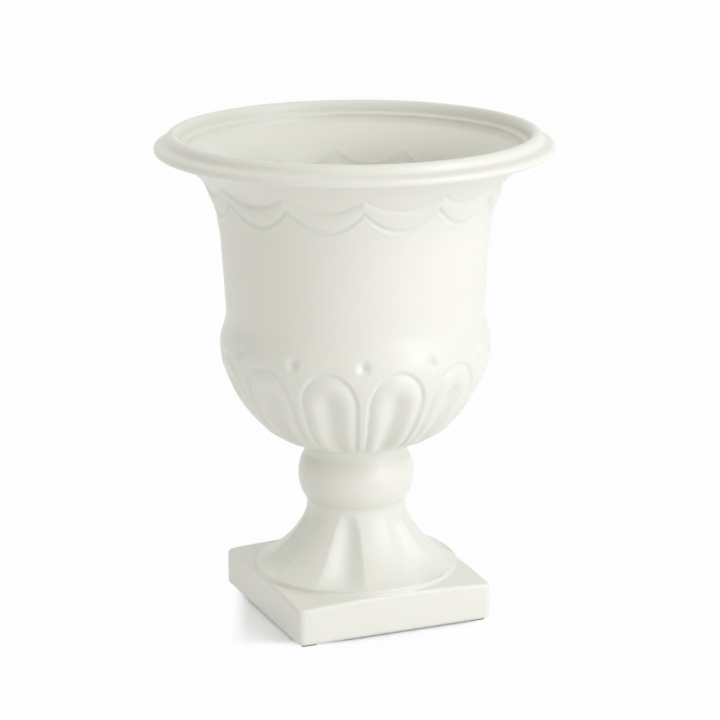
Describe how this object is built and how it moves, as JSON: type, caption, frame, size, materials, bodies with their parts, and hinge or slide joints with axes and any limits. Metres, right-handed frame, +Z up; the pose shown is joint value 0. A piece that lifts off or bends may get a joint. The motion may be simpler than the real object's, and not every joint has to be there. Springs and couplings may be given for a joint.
{
  "type": "pedestal urn vase",
  "caption": "Neoclassical pedestal urn vase with tongue-moulded bowl, swagged cove, rolled rim, fluted stem and square plinth, for flowers or a plant liner.",
  "frame": {"origin": "on the floor under the middle of the plinth, at the underside of the felt pads", "axes": "+Z up along the turning axis of the bowl; X and Y along the plinth's sides, with one side facing -Y"},
  "size_m": [0.241, 0.241, 0.3],
  "materials": {
    "bowl_glaze": "satin ivory-white glaze over white earthenware",
    "stem_glaze": "satin ivory-white glaze over white earthenware",
    "plinth_glaze": "satin ivory-white glaze over white earthenware",
    "pad_felt": "pressed felt"
  },
  "bodies": {
    "root": {"bowl": "bowl_glaze", "stem": "stem_glaze", "plinth": "plinth_glaze", "pad_front_left": "pad_felt", "pad_front_right": "pad_felt", "pad_back_left": "pad_felt", "pad_back_right": "pad_felt"}
  },
  "joints": []
}
